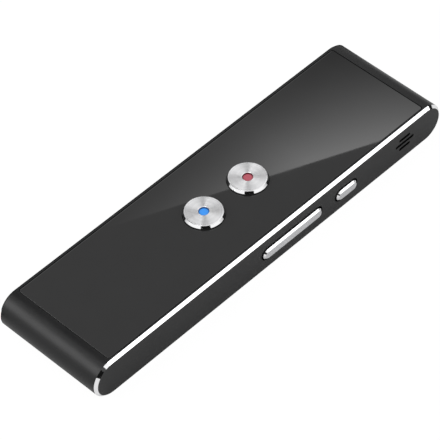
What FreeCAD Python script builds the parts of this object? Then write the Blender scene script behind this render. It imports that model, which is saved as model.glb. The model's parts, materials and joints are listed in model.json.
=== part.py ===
import FreeCAD, Part
import math
import os

# Handheld translator: a slim bar with a gloss front panel, two round press keys and side keys.
# All sizes are in millimetres. The origin is the middle of the flat back face. X runs across the
# width, with the side keys and the speaker slots at +X. Y runs along the length, with the charging
# socket at +Y. Z runs from the back face up to the front panel.

# Body: one milled shell with full round ends and a polished chamfer round each side face
BODY_LENGTH = 140.0
BODY_WIDTH = 38.0
BODY_THICKNESS = 13.0
EDGE_CHAMFER = 0.78
BACK_WALL = 1.2
TOP_RIM = 0.52
PANEL_LEDGE = 1.0
CAVITY_CORNER_RADIUS = 2.0

# Front panel, glued into a recess between the two round ends
PANEL_THICKNESS = 1.0
PANEL_GAP = 0.2
PANEL_CORNER_RADIUS = 0.7
PANEL_EDGE_BREAK = 0.08
ADHESIVE_THICKNESS = 0.25
ADHESIVE_MARGIN = 0.15

# Round keys: a spun cap over a carrier that is guided under the panel
KEY_SPACING = 17.74
KEY_HEIGHT = 1.2
KEY_RADIUS = 6.03
KEY_BEVEL_WIDTH = 0.43
KEY_BEVEL_DROP = 0.75
KEY_RIM_WIDTH = 0.28
KEY_RIM_DROP = 0.08
KEY_GAP = 0.15
KEY_TRAVEL = 0.4
KEY_STOP_GAP = 0.25
KEY_FLANGE_GAP = 0.15
KEY_FLANGE_OVERLAP = 0.6
KEY_FLANGE_THICKNESS = 0.8
KEY_CAP_WALL = 0.9
KEY_STEM_RADIUS = 2.5
KEY_STEM_CLEARANCE = 0.08
DOT_RADIUS = 1.56
DOT_THICKNESS = 0.35
DOT_SINK = 0.4
DOT_EDGE_BREAK = 0.1
DOT_HALO_WIDTH = 0.2
DOT_HALO_DROP = 0.07
DOT_CLEARANCE = 0.02
GUIDE_FLOOR = 0.7
GUIDE_WALL = 1.3
GUIDE_CLEARANCE = 0.3
GUIDE_CORNER_RADIUS = 2.0

# Press switches: a square body with a round plunger in a bore
SWITCH_SIZE = 5.2
SWITCH_HEIGHT = 1.3
SWITCH_CORNER_RADIUS = 0.5
PLUNGER_RADIUS = 1.4
PLUNGER_SPARE = 0.25
PLUNGER_SEAT = 0.55
PLUNGER_CLEARANCE = 0.08
PLUNGER_FLOOR_GAP = 0.1

# Side keys: the volume rocker and the power button, centred on the body's thickness
SIDE_KEY_HEIGHT = 3.55
SIDE_KEY_PROUD = 0.72
SIDE_KEY_BEVEL = 0.51
SIDE_KEY_GAP = 0.6
SIDE_FLANGE_OVERLAP = 0.5
SIDE_FLANGE_THICKNESS = 0.8
SIDE_FLANGE_RADIUS = 1.2
ROCKER_LENGTH = 23.8
ROCKER_END_GAP = 63.25
ROCKER_TILT_DEG = 1.5
ROCKER_STOP_GAP = 0.15
ROCKER_SWITCH_REACH = 8.0
ROCKER_NUB_LENGTH = 0.3
ROCKER_NUB_GAP = 0.08
POWER_LENGTH = 8.3
POWER_END_GAP = 40.85
POWER_TRAVEL = 0.3
POWER_FLANGE_GAP = 0.15
NUB_RADIUS = 0.8

# Rocker pivot: a pin along Z through the rocker's lug and the bracket's two ears
PIN_RADIUS = 0.5
PIN_RUNNING_CLEARANCE = 0.05
PIN_SEAT_CLEARANCE = 0.01
PIN_HEAD_RADIUS = 0.75
PIN_HEAD_HEIGHT = 0.2
LUG_RADIUS = 0.75
LUG_HEIGHT = 1.6
LUG_BACKSET = 1.15
EAR_RADIUS = 0.8
EAR_THICKNESS = 0.5
EAR_GAP = 0.1

# Side key switches, flex strip and bracket
SIDE_SWITCH_LENGTH = 3.4
SIDE_SWITCH_HEIGHT = 3.0
SIDE_SWITCH_DEPTH = 1.4
SIDE_PLUNGER_RADIUS = 0.7
SIDE_PLUNGER_SPARE = 0.15
SIDE_PLUNGER_SEAT = 0.45
FLEX_THICKNESS = 0.15
FLEX_HEIGHT = 4.3
FLEX_MARGIN = 1.6
FLEX_TAIL_WIDTH = 4.0
FLEX_TAIL_LIFT = 0.45
FLEX_NOTCH_MARGIN = 0.3
BRACKET_THICKNESS = 0.5
BRACKET_HEIGHT = 4.4
BRACKET_END_MARGIN = 3.3
BRACKET_FOOT_LENGTH = 3.6
BRACKET_FOOT_REACH = 3.6

# Speaker, behind three slots in the +X wall
SPEAKER_END_GAP = 15.8
SLOT_RISE = 0.38
SLOT_PITCH = 1.76
SLOT_HEIGHT = 1.0
SLOT_LONG = 7.8
SLOT_SHORT = 4.7
SPEAKER_LENGTH = 12.4
SPEAKER_HEIGHT = 9.0
SPEAKER_DEPTH = 3.8
SPEAKER_CORNER_RADIUS = 1.0
SPEAKER_RIM = 1.0
SPEAKER_RECESS = 0.9
SPEAKER_LEDGE = 1.2
SPEAKER_RIB = 0.8
SPEAKER_RIB_HEIGHT = 6.5
DIAPHRAGM_THICKNESS = 0.2
DIAPHRAGM_DOME = 0.35
DIAPHRAGM_BORDER = 1.6
DIAPHRAGM_CLEARANCE = 0.05
MAGNET_CLEARANCE = 0.1
GASKET_THICKNESS = 0.5
GASKET_WIDTH = 1.3
MESH_THICKNESS = 0.15
MESH_MARGIN = 0.3

# Battery stack, from the floor of the cavity up to the board
TAPE_THICKNESS = 0.2
BATTERY_THICKNESS = 4.5
BATTERY_CORNER_RADIUS = 1.2
BATTERY_SIDE_GAP = 1.5
BATTERY_END_GAP = 16.5
BATTERY_FAR_GAP = 36.5
BATTERY_FOOT_GAP = 0.13
TAPE_MARGIN = 2.0
FOAM_THICKNESS = 0.3
FOAM_MARGIN = 3.0
INNER_FRAME_THICKNESS = 1.0
INNER_FRAME_MARGIN = 0.6
INNER_FRAME_WINDOW = 9.0
INNER_FRAME_WINDOW_COUNT = 5
BATTERY_BOARD_LENGTH = 1.6
BATTERY_BOARD_WIDTH = 18.0
BATTERY_BOARD_HEIGHT = 3.4
BATTERY_WIRE_RADIUS = 0.45
BATTERY_WIRE_PITCH = 2.0
BATTERY_WIRE_RUN = 10.0
BATTERY_WIRE_LIFT = 0.9

# Main board
BOARD_THICKNESS = 0.8
BOARD_GAP = 0.5
BOARD_CORNER_RADIUS = 2.0
BOARD_NOTCH_CLEARANCE = 0.8
POST_RADIUS = 1.9
BRACKET_POST_RADIUS = 1.5
POST_SIDE_GAP = 4.2
POST_FAR_GAP = 21.5
POST_END_GAP = 6.5
SCREW_RADIUS = 0.6
SCREW_HEAD_RADIUS = 1.3
SCREW_HEAD_HEIGHT = 0.7
SCREW_LENGTH = 3.2
SCREW_SEAT_CLEARANCE = 0.02
SCREW_HOLE_CLEARANCE = 0.25
SCREW_CROSS_WIDTH = 0.35
SCREW_CROSS_LENGTH = 1.5
SCREW_CROSS_DEPTH = 0.35
SCREW_TIP_GAP = 0.3

# Parts on the board
SHIELD_WALL = 0.2
SHIELD_HEIGHT = 1.6
SHIELD_CORNER_RADIUS = 0.6
PROCESSOR_SHIELD_SIZE = (20.0, 16.0)
PROCESSOR_SHIELD_END_GAP = 30.0
PROCESSOR_SIZE = (9.0, 9.0, 0.9)
MEMORY_SIZE = (6.0, 8.0, 0.8)
PROCESSOR_OFFSET = 4.2
MEMORY_OFFSET = 5.4
RADIO_SHIELD_SIZE = (14.0, 12.0)
RADIO_SHIELD_END_GAP = 34.5
RADIO_SHIELD_X = -5.0
RADIO_SIZE = (7.0, 7.0, 0.8)
AUDIO_SIZE = (4.0, 4.0, 0.8)
AUDIO_X = 2.0
AUDIO_END_GAP = 21.0
CHARGE_SIZE = (3.0, 3.0, 0.8)
CHARGE_X = -2.0
CHARGE_END_GAP = 10.0
CRYSTAL_SIZE = (3.2, 2.5, 0.7)
CRYSTAL_X = -9.0
CRYSTAL_END_GAP = 24.0
CAPACITOR_SIZE = (0.8, 1.6, 0.8)
CAPACITOR_PITCH = 2.0
CAPACITOR_ROW = 6
CONNECTOR_SIZE = (2.4, 5.2, 1.0)
CONNECTOR_NOTCH_GAP = 2.33
BATTERY_PLUG_SIZE = (4.6, 1.8, 1.3)
BATTERY_SOCKET_SIZE = (5.6, 2.2, 1.6)

# Charging socket, in the middle of the +Y end
SOCKET_WIDTH = 8.94
SOCKET_HEIGHT = 3.26
SOCKET_LENGTH = 10.3
SOCKET_WALL = 0.3
SOCKET_SET_BACK = 0.8
SOCKET_CLEARANCE = 0.15
TONGUE_WIDTH = 6.7
TONGUE_THICKNESS = 0.7
TONGUE_SET_BACK = 0.9
SOCKET_BASE = 3.2
SOCKET_EAR_LENGTH = 1.8
SOCKET_EAR_WIDTH = 1.4
SOCKET_EAR_THICKNESS = 0.25

# Microphone, beside the charging socket
MICROPHONE_SIDE_GAP = 6.7
MICROPHONE_HOLE_RADIUS = 0.5
MICROPHONE_SIZE = (3.5, 2.6, 1.1)
MICROPHONE_DUCT = 0.8
BOOT_WALL = 0.7
BOOT_CLEARANCE = 0.05

# Antenna, under the panel at the -Y end
ANTENNA_SIZE = (24.0, 8.0, 0.15)
ANTENNA_END_GAP = 2.0
CABLE_RADIUS = 0.4
CABLE_X = 7.0
CABLE_PLUG_RADIUS = 1.2
CABLE_PLUG_HEIGHT = 1.3
CABLE_DROP_RUN = 5.0
CABLE_FLAT_RUN = 3.6

# Speaker wires
SPEAKER_WIRE_RADIUS = 0.3
SPEAKER_WIRE_PITCH = 1.4
SPEAKER_WIRE_RUN = 1.8
SPEAKER_WIRE_RISE = 1.05
WIRE_REST_GAP = 0.05

# Places worked out from the sizes above
half_width = BODY_WIDTH / 2
half_length = BODY_LENGTH / 2
end_radius = BODY_THICKNESS / 2
middle_z = BODY_THICKNESS / 2
recess_half_x = half_width - EDGE_CHAMFER - TOP_RIM
recess_half_y = half_length - end_radius
cavity_half_x = recess_half_x - PANEL_LEDGE
cavity_half_y = recess_half_y - PANEL_LEDGE
panel_half_x = recess_half_x - PANEL_GAP
panel_half_y = recess_half_y - PANEL_GAP
panel_bottom = BODY_THICKNESS - PANEL_THICKNESS
recess_floor = panel_bottom - ADHESIVE_THICKNESS

battery_bottom = BACK_WALL + TAPE_THICKNESS
battery_top = battery_bottom + BATTERY_THICKNESS
inner_frame_bottom = battery_top + FOAM_THICKNESS
board_bottom = inner_frame_bottom + INNER_FRAME_THICKNESS
board_top = board_bottom + BOARD_THICKNESS
battery_y0 = -cavity_half_y + BATTERY_END_GAP
battery_y1 = cavity_half_y - BATTERY_FAR_GAP
battery_length = battery_y1 - battery_y0

key_centres = (-KEY_SPACING / 2, KEY_SPACING / 2)
key_top = BODY_THICKNESS + KEY_HEIGHT
key_hole_radius = KEY_RADIUS + KEY_GAP
key_flange_radius = key_hole_radius + KEY_FLANGE_OVERLAP
key_flange_top = panel_bottom - KEY_FLANGE_GAP
key_flange_bottom = key_flange_top - KEY_FLANGE_THICKNESS
guide_floor_top = key_flange_bottom - KEY_TRAVEL - KEY_STOP_GAP
guide_bottom = guide_floor_top - GUIDE_FLOOR
guide_pocket_radius = key_flange_radius + GUIDE_CLEARANCE
key_plunger_top = board_top + SWITCH_HEIGHT + KEY_TRAVEL + PLUNGER_SPARE
dot_pocket_depth = DOT_SINK + DOT_THICKNESS
cap_roof_bottom = key_top - dot_pocket_depth - KEY_CAP_WALL

rocker_y = half_length - ROCKER_END_GAP
power_y = half_length - POWER_END_GAP
side_face_x = half_width + SIDE_KEY_PROUD
side_flange_border = SIDE_KEY_GAP + SIDE_FLANGE_OVERLAP
rocker_swing = (ROCKER_LENGTH / 2 + side_flange_border) * math.tan(math.radians(ROCKER_TILT_DEG))
rocker_flange_front = cavity_half_x - rocker_swing - ROCKER_STOP_GAP
rocker_flange_back = rocker_flange_front - SIDE_FLANGE_THICKNESS
side_plunger_tip = rocker_flange_back - ROCKER_NUB_LENGTH - ROCKER_NUB_GAP
side_switch_front = side_plunger_tip - POWER_TRAVEL - SIDE_PLUNGER_SPARE
side_switch_back = side_switch_front - SIDE_SWITCH_DEPTH
flex_back = side_switch_back - FLEX_THICKNESS
bracket_back = flex_back - BRACKET_THICKNESS
pin_x = rocker_flange_back - LUG_BACKSET
ear_inner = LUG_HEIGHT / 2 + EAR_GAP
ear_outer = ear_inner + EAR_THICKNESS
rocker_switch_places = (rocker_y - ROCKER_SWITCH_REACH, rocker_y + ROCKER_SWITCH_REACH)
bracket_y0 = rocker_switch_places[0] - SIDE_SWITCH_LENGTH / 2 - BRACKET_END_MARGIN
bracket_y1 = power_y + SIDE_SWITCH_LENGTH / 2 + BRACKET_END_MARGIN
bracket_z0 = middle_z - BRACKET_HEIGHT / 2 - EAR_GAP * 2
bracket_z1 = bracket_z0 + BRACKET_HEIGHT
bracket_post_x = bracket_back - BRACKET_FOOT_REACH / 2
battery_x0 = -cavity_half_x + BATTERY_SIDE_GAP
battery_x1 = bracket_back - BRACKET_FOOT_REACH - BATTERY_FOOT_GAP
battery_width = battery_x1 - battery_x0
bracket_post_places = (bracket_y0 + BRACKET_FOOT_LENGTH / 2, bracket_y1 - BRACKET_FOOT_LENGTH / 2)
flex_tail_y = (rocker_y + ROCKER_LENGTH / 2 + power_y - POWER_LENGTH / 2) / 2

speaker_y = half_length - SPEAKER_END_GAP
mesh_back = cavity_half_x - MESH_THICKNESS
gasket_back = mesh_back - GASKET_THICKNESS
speaker_back = gasket_back - SPEAKER_DEPTH
speaker_rib_back = speaker_back - SPEAKER_RIB
speaker_z = BACK_WALL + SPEAKER_HEIGHT / 2
slot_z = middle_z + SLOT_RISE

board_notch_x = bracket_back - BOARD_NOTCH_CLEARANCE
board_speaker_x = speaker_rib_back - BOARD_GAP
board_speaker_y = speaker_y - SPEAKER_LENGTH / 2 - BOARD_NOTCH_CLEARANCE
board_half_x = cavity_half_x - BOARD_GAP
board_half_y = cavity_half_y - BOARD_GAP
post_x = cavity_half_x - POST_SIDE_GAP
post_near_y = -cavity_half_y + POST_END_GAP
post_far_y = cavity_half_y - POST_FAR_GAP
post_places = [(x, y) for y in (post_near_y, post_far_y) for x in (-post_x, post_x)]
processor_shield_y = -board_half_y + PROCESSOR_SHIELD_END_GAP
radio_shield_y = board_half_y - RADIO_SHIELD_END_GAP
audio_place = (AUDIO_X, board_half_y - AUDIO_END_GAP)
charge_place = (CHARGE_X, board_half_y - CHARGE_END_GAP)
crystal_place = (CRYSTAL_X, board_half_y - CRYSTAL_END_GAP)
connector_x = board_notch_x - CONNECTOR_NOTCH_GAP

socket_front_y = half_length - SOCKET_SET_BACK
socket_back_y = socket_front_y - SOCKET_LENGTH
microphone_x = -cavity_half_x + MICROPHONE_SIDE_GAP
microphone_front_y = cavity_half_y - MICROPHONE_DUCT


def point(x, y, z):
    """A point or direction in the body's frame."""
    return FreeCAD.Vector(x, y, z)


def block(x0, x1, y0, y1, z0, z1):
    """A plain box between two values on each axis."""
    return Part.makeBox(x1 - x0, y1 - y0, z1 - z0, point(x0, y0, z0))


def rod_x(y, z, x0, x1, radius):
    """A round rod along X."""
    return Part.makeCylinder(radius, x1 - x0, point(x0, y, z), point(1, 0, 0))


def rod_y(x, z, y0, y1, radius):
    """A round rod along Y."""
    return Part.makeCylinder(radius, y1 - y0, point(x, y0, z), point(0, 1, 0))


def rod_z(x, y, z0, z1, radius):
    """A round rod along Z."""
    return Part.makeCylinder(radius, z1 - z0, point(x, y, z0), point(0, 0, 1))


def rounded_outline(half_u, half_v, radius):
    """A rounded rectangle in the XY plane, centred on the origin. A radius of half the height
    makes both ends full rounds."""
    flat_u = half_u - radius
    flat_v = half_v - radius
    signs = ((1, 1), (-1, 1), (-1, -1), (1, -1))
    arcs = []
    for turn, (sign_u, sign_v) in enumerate(signs):
        angles = [math.radians(90 * turn + step) for step in (0, 45, 90)]
        centre = point(sign_u * flat_u, sign_v * flat_v, 0)
        spots = [centre + point(math.cos(a), math.sin(a), 0) * radius for a in angles]
        arcs.append(spots)
    edges = []
    for turn, spots in enumerate(arcs):
        edges.append(Part.Arc(*spots).toShape())
        following = arcs[(turn + 1) % 4][0]
        if spots[2].distanceToPoint(following) > 1e-6:
            edges.append(Part.LineSegment(spots[2], following).toShape())
    return Part.Wire(edges)


def plate_z(x, y, z0, z1, size_x, size_y, radius):
    """A plate lying flat, with rounded corners in plan."""
    outline = Part.Face(rounded_outline(size_x / 2, size_y / 2, radius))
    plate = outline.extrude(point(0, 0, z1 - z0))
    plate.translate(point(x, y, z0))
    return plate


def plate_x(y, z, x0, x1, size_y, size_z, radius):
    """A plate standing across X, with rounded corners seen from the side."""
    outline = Part.Face(rounded_outline(size_y / 2, size_z / 2, radius))
    plate = outline.extrude(point(0, 0, x1 - x0))
    turn = FreeCAD.Rotation(point(1, 1, 1), 120)
    plate.Placement = FreeCAD.Placement(point(x0, y, z), turn)
    return plate


def plate_y(x, z, y0, y1, size_x, size_z, radius):
    """A plate standing across Y, with rounded corners seen from the end."""
    outline = Part.Face(rounded_outline(size_x / 2, size_z / 2, radius))
    plate = outline.extrude(point(0, 0, y1 - y0))
    turn = FreeCAD.Rotation(point(1, 0, 0), 90)
    plate.Placement = FreeCAD.Placement(point(x, y1, z), turn)
    return plate


def turned(profile, x, y):
    """A solid turned about a Z axis from its (radius, height) corners."""
    corners = [point(radius, 0, height) for radius, height in profile]
    face = Part.Face(Part.makePolygon(corners + corners[:1]))
    solid = face.revolve(point(0, 0, 0), point(0, 0, 1), 360)
    solid.translate(point(x, y, 0))
    return solid


def rim_edges(solid, axis, value):
    """The edges of a solid that lie in one plane across an axis."""
    low, high = {"x": ("XMin", "XMax"), "z": ("ZMin", "ZMax")}[axis]
    found = []
    for edge in solid.Edges:
        box = edge.BoundBox
        if abs(getattr(box, low) - value) < 1e-4 and abs(getattr(box, high) - value) < 1e-4:
            found.append(edge)
    return found


def wire_along(route, radius):
    """A round wire along straight runs, with a tangent arc at each turn as wide as the runs allow."""
    edges = []
    start = route[0]
    for before, corner, after in zip(route, route[1:], route[2:]):
        arriving = (corner - before).normalize()
        leaving = (after - corner).normalize()
        half_turn = arriving.getAngle(leaving) / 2
        shorter = min(corner.distanceToPoint(before), corner.distanceToPoint(after))
        bend = 0.45 * shorter / math.tan(half_turn)
        print("bend radius", round(bend, 2), "for a wire of radius", radius)
        arc_start = corner - arriving * (0.45 * shorter)
        arc_end = corner + leaving * (0.45 * shorter)
        inward = (leaving - arriving).normalize()
        middle = corner + inward * (bend / math.cos(half_turn) - bend)
        edges.append(Part.LineSegment(start, arc_start).toShape())
        edges.append(Part.Arc(arc_start, middle, arc_end).toShape())
        start = arc_end
    edges.append(Part.LineSegment(start, route[-1]).toShape())
    first_run = route[1] - route[0]
    section = Part.Wire(Part.Circle(route[0], first_run, radius).toShape())
    path = Part.Wire(edges)
    tube = path.makePipeShell([section], True, False)
    return tube


def together(solids):
    """Separate solids of one node."""
    return Part.makeCompound(solids)


def chip(size, x, y):
    """A chip or small part standing on the board."""
    size_x, size_y, height = size
    x0 = x - size_x / 2
    y0 = y - size_y / 2
    return block(x0, x0 + size_x, y0, y0 + size_y, board_top, board_top + height)


def screw(x, y, seat_z):
    """A small pan-head screw with a cross recess, its head resting at seat_z."""
    head = rod_z(x, y, seat_z, seat_z + SCREW_HEAD_HEIGHT, SCREW_HEAD_RADIUS)
    shank = rod_z(x, y, seat_z - SCREW_LENGTH, seat_z, SCREW_RADIUS)
    top = seat_z + SCREW_HEAD_HEIGHT
    long_half = SCREW_CROSS_LENGTH / 2
    short_half = SCREW_CROSS_WIDTH / 2
    cross = block(x - long_half, x + long_half, y - short_half, y + short_half, top - SCREW_CROSS_DEPTH, top)
    bar = block(x - short_half, x + short_half, y - long_half, y + long_half, top - SCREW_CROSS_DEPTH, top)
    return head.fuse(shank).cut(cross.fuse(bar))


def side_cut_out(length, y):
    """The opening in the +X wall round a side key."""
    size_y = length + 2 * SIDE_KEY_GAP
    size_z = SIDE_KEY_HEIGHT + 2 * SIDE_KEY_GAP
    return plate_x(y, middle_z, cavity_half_x - 1, half_width + 1, size_y, size_z, size_z / 2)


def speaker_slots():
    """Three slots in the +X wall, the middle one longer."""
    slots = []
    for row, length in ((-1, SLOT_SHORT), (0, SLOT_LONG), (1, SLOT_SHORT)):
        z = slot_z + row * SLOT_PITCH
        slots.append(plate_x(speaker_y, z, cavity_half_x - 1, half_width + 1, length, SLOT_HEIGHT,
                             SLOT_HEIGHT / 2))
    return slots


def tapped_post(x, y, top_z, radius):
    """A post on the cavity floor and its screw hole."""
    post = rod_z(x, y, BACK_WALL, top_z, radius)
    hole_bottom = top_z - SCREW_LENGTH - SCREW_TIP_GAP
    return post, max(hole_bottom, BACK_WALL / 2)


def make_housing():
    """The milled body: a bar with full round ends, hollowed from the front."""
    bar = plate_x(0, middle_z, -half_width, half_width, BODY_LENGTH, BODY_THICKNESS, end_radius)
    edges = rim_edges(bar, "x", -half_width) + rim_edges(bar, "x", half_width)
    body = bar.makeChamfer(EDGE_CHAMFER, edges)
    cavity = plate_z(0, 0, BACK_WALL, BODY_THICKNESS + 1, 2 * cavity_half_x, 2 * cavity_half_y,
                     CAVITY_CORNER_RADIUS)
    recess = plate_z(0, 0, recess_floor, BODY_THICKNESS + 1, 2 * recess_half_x, 2 * recess_half_y,
                     PANEL_CORNER_RADIUS + PANEL_GAP)
    body = body.cut([cavity, recess])

    rib_half = SPEAKER_LENGTH / 2
    rib = block(speaker_rib_back, speaker_back, speaker_y - rib_half, speaker_y + rib_half, BACK_WALL,
                BACK_WALL + SPEAKER_RIB_HEIGHT)
    added = [rib]
    holes = []
    for x, y in post_places:
        post, hole_z = tapped_post(x, y, board_bottom, POST_RADIUS)
        added.append(post)
        holes.append(rod_z(x, y, hole_z, board_bottom, SCREW_RADIUS + SCREW_SEAT_CLEARANCE))
    for y in bracket_post_places:
        post, hole_z = tapped_post(bracket_post_x, y, bracket_z0, BRACKET_POST_RADIUS)
        added.append(post)
        holes.append(rod_z(bracket_post_x, y, hole_z, bracket_z0, SCREW_RADIUS + SCREW_SEAT_CLEARANCE))
    body = body.fuse(added)

    cuts = holes + speaker_slots()
    cuts.append(side_cut_out(ROCKER_LENGTH, rocker_y))
    cuts.append(side_cut_out(POWER_LENGTH, power_y))
    socket_height = SOCKET_HEIGHT + 2 * SOCKET_CLEARANCE
    cuts.append(plate_y(0, middle_z, cavity_half_y - 1, half_length + 1, SOCKET_WIDTH + 2 * SOCKET_CLEARANCE,
                        socket_height, socket_height / 2))
    cuts.append(rod_y(microphone_x, middle_z, cavity_half_y - 1, half_length + 1, MICROPHONE_HOLE_RADIUS))
    return body.cut(cuts).removeSplitter()


def make_front_panel():
    """The gloss front panel with its two key holes."""
    panel = plate_z(0, 0, panel_bottom, BODY_THICKNESS, 2 * panel_half_x, 2 * panel_half_y,
                    PANEL_CORNER_RADIUS)
    panel = panel.makeChamfer(PANEL_EDGE_BREAK, rim_edges(panel, "z", BODY_THICKNESS))
    holes = [rod_z(0, y, panel_bottom - 1, BODY_THICKNESS + 1, key_hole_radius) for y in key_centres]
    return panel.cut(holes)


def make_panel_adhesive():
    """A die-cut frame of tape on the ledge under the panel."""
    outer = plate_z(0, 0, recess_floor, panel_bottom, 2 * (panel_half_x - ADHESIVE_MARGIN),
                    2 * (panel_half_y - ADHESIVE_MARGIN), PANEL_CORNER_RADIUS)
    inner = plate_z(0, 0, recess_floor - 1, panel_bottom + 1, 2 * cavity_half_x, 2 * cavity_half_y,
                    CAVITY_CORNER_RADIUS)
    return outer.cut(inner)


def make_key_cap(y):
    """A turned cap: straight wall, steep bevel, thin satin rim and a pocket that sinks the coloured dot."""
    pocket_radius = DOT_RADIUS + DOT_CLEARANCE
    inner_radius = KEY_RADIUS - KEY_CAP_WALL
    profile = [
        (0, key_top - dot_pocket_depth),
        (pocket_radius, key_top - dot_pocket_depth),
        (pocket_radius, key_top - DOT_HALO_DROP),
        (pocket_radius + DOT_HALO_WIDTH, key_top),
        (KEY_RADIUS - KEY_BEVEL_WIDTH - KEY_RIM_WIDTH, key_top),
        (KEY_RADIUS - KEY_BEVEL_WIDTH, key_top - KEY_RIM_DROP),
        (KEY_RADIUS, key_top - KEY_RIM_DROP - KEY_BEVEL_DROP),
        (KEY_RADIUS, key_flange_top),
        (inner_radius, key_flange_top),
        (inner_radius, cap_roof_bottom),
        (0, cap_roof_bottom),
    ]
    return turned(profile, 0, y)


def make_key_dot(y):
    """The coloured dot set in the middle of a key."""
    top = key_top - DOT_SINK
    profile = [
        (0, top - DOT_THICKNESS),
        (DOT_RADIUS, top - DOT_THICKNESS),
        (DOT_RADIUS, top - DOT_EDGE_BREAK),
        (DOT_RADIUS - DOT_EDGE_BREAK, top),
        (0, top),
    ]
    return turned(profile, 0, y)


def make_key_carrier(y):
    """The carrier inside a cap: boss, flange under the panel and guided stem."""
    boss_radius = KEY_RADIUS - KEY_CAP_WALL - DOT_CLEARANCE
    profile = [
        (0, key_plunger_top),
        (KEY_STEM_RADIUS, key_plunger_top),
        (KEY_STEM_RADIUS, key_flange_bottom),
        (key_flange_radius, key_flange_bottom),
        (key_flange_radius, key_flange_top),
        (boss_radius, key_flange_top),
        (boss_radius, cap_roof_bottom),
        (0, cap_roof_bottom),
    ]
    return turned(profile, 0, y)


def make_key_switch(y):
    """The press switch on the board under a key."""
    body = plate_z(0, y, board_top, board_top + SWITCH_HEIGHT, SWITCH_SIZE, SWITCH_SIZE, SWITCH_CORNER_RADIUS)
    bore_bottom = board_top + SWITCH_HEIGHT - PLUNGER_SEAT - KEY_TRAVEL - PLUNGER_FLOOR_GAP
    bore = rod_z(0, y, bore_bottom, board_top + SWITCH_HEIGHT + 1, PLUNGER_RADIUS + PLUNGER_CLEARANCE)
    return body.cut(bore)


def make_key_plunger(y):
    """The plunger between a key's stem and its switch."""
    return rod_z(0, y, board_top + SWITCH_HEIGHT - PLUNGER_SEAT, key_plunger_top, PLUNGER_RADIUS)


def make_key_guide():
    """The guide glued under the panel, with a pocket and a stem hole for each key."""
    size_x = 2 * (guide_pocket_radius + GUIDE_WALL)
    size_y = size_x + KEY_SPACING
    guide = plate_z(0, 0, guide_bottom, panel_bottom, size_x, size_y, GUIDE_CORNER_RADIUS)
    cuts = []
    for y in key_centres:
        cuts.append(rod_z(0, y, guide_floor_top, panel_bottom + 1, guide_pocket_radius))
        cuts.append(rod_z(0, y, guide_bottom - 1, panel_bottom, KEY_STEM_RADIUS + KEY_STEM_CLEARANCE))
    return guide.cut(cuts)


def side_key(length, y, flange_front):
    """The outer shape of a side key: a bevelled bar with a flange behind the wall."""
    bar = plate_x(y, middle_z, flange_front, side_face_x, length, SIDE_KEY_HEIGHT, SIDE_KEY_HEIGHT / 2)
    bar = bar.makeChamfer(SIDE_KEY_BEVEL, rim_edges(bar, "x", side_face_x))
    border = 2 * side_flange_border
    flange = plate_x(y, middle_z, flange_front - SIDE_FLANGE_THICKNESS, flange_front, length + border,
                     SIDE_KEY_HEIGHT + border, SIDE_FLANGE_RADIUS)
    return bar.fuse(flange)


def make_volume_rocker():
    """The volume rocker: two nubs for its switches and a drilled lug for its pin."""
    rocker = side_key(ROCKER_LENGTH, rocker_y, rocker_flange_front)
    z0 = middle_z - LUG_HEIGHT / 2
    z1 = middle_z + LUG_HEIGHT / 2
    lug = block(pin_x, rocker_flange_back, rocker_y - LUG_RADIUS, rocker_y + LUG_RADIUS, z0, z1)
    lug_end = rod_z(pin_x, rocker_y, z0, z1, LUG_RADIUS)
    nub_tip = rocker_flange_back - ROCKER_NUB_LENGTH
    nubs = [rod_x(y, middle_z, nub_tip, rocker_flange_back, NUB_RADIUS) for y in rocker_switch_places]
    hole = rod_z(pin_x, rocker_y, z0 - 1, z1 + 1, PIN_RADIUS + PIN_RUNNING_CLEARANCE)
    return rocker.fuse([lug, lug_end] + nubs).cut(hole).removeSplitter()


def make_power_button():
    """The power button with the nub that meets its plunger."""
    flange_front = cavity_half_x - POWER_FLANGE_GAP
    flange_back = flange_front - SIDE_FLANGE_THICKNESS
    button = side_key(POWER_LENGTH, power_y, flange_front)
    nub = rod_x(power_y, middle_z, side_plunger_tip, flange_back, NUB_RADIUS)
    return button.fuse(nub).removeSplitter()


def make_side_plunger(y):
    """The plunger of a side switch."""
    return rod_x(y, middle_z, side_switch_front - SIDE_PLUNGER_SEAT, side_plunger_tip, SIDE_PLUNGER_RADIUS)


def make_side_switch(y):
    """A side switch standing on the flex strip."""
    half_y = SIDE_SWITCH_LENGTH / 2
    half_z = SIDE_SWITCH_HEIGHT / 2
    body = block(side_switch_back, side_switch_front, y - half_y, y + half_y, middle_z - half_z,
                 middle_z + half_z)
    bore_back = side_switch_front - SIDE_PLUNGER_SEAT - POWER_TRAVEL - PLUNGER_FLOOR_GAP
    bore = rod_x(y, middle_z, bore_back, side_switch_front + 1, SIDE_PLUNGER_RADIUS + PLUNGER_CLEARANCE)
    return body.cut(bore)


def make_rocker_pin():
    """The steel pin that the rocker tips on, with a flat head above the upper ear."""
    z0 = middle_z - ear_outer
    z1 = middle_z + ear_outer
    shank = rod_z(pin_x, rocker_y, z0, z1, PIN_RADIUS)
    head = rod_z(pin_x, rocker_y, z1, z1 + PIN_HEAD_HEIGHT, PIN_HEAD_RADIUS)
    return shank.fuse(head)


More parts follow.
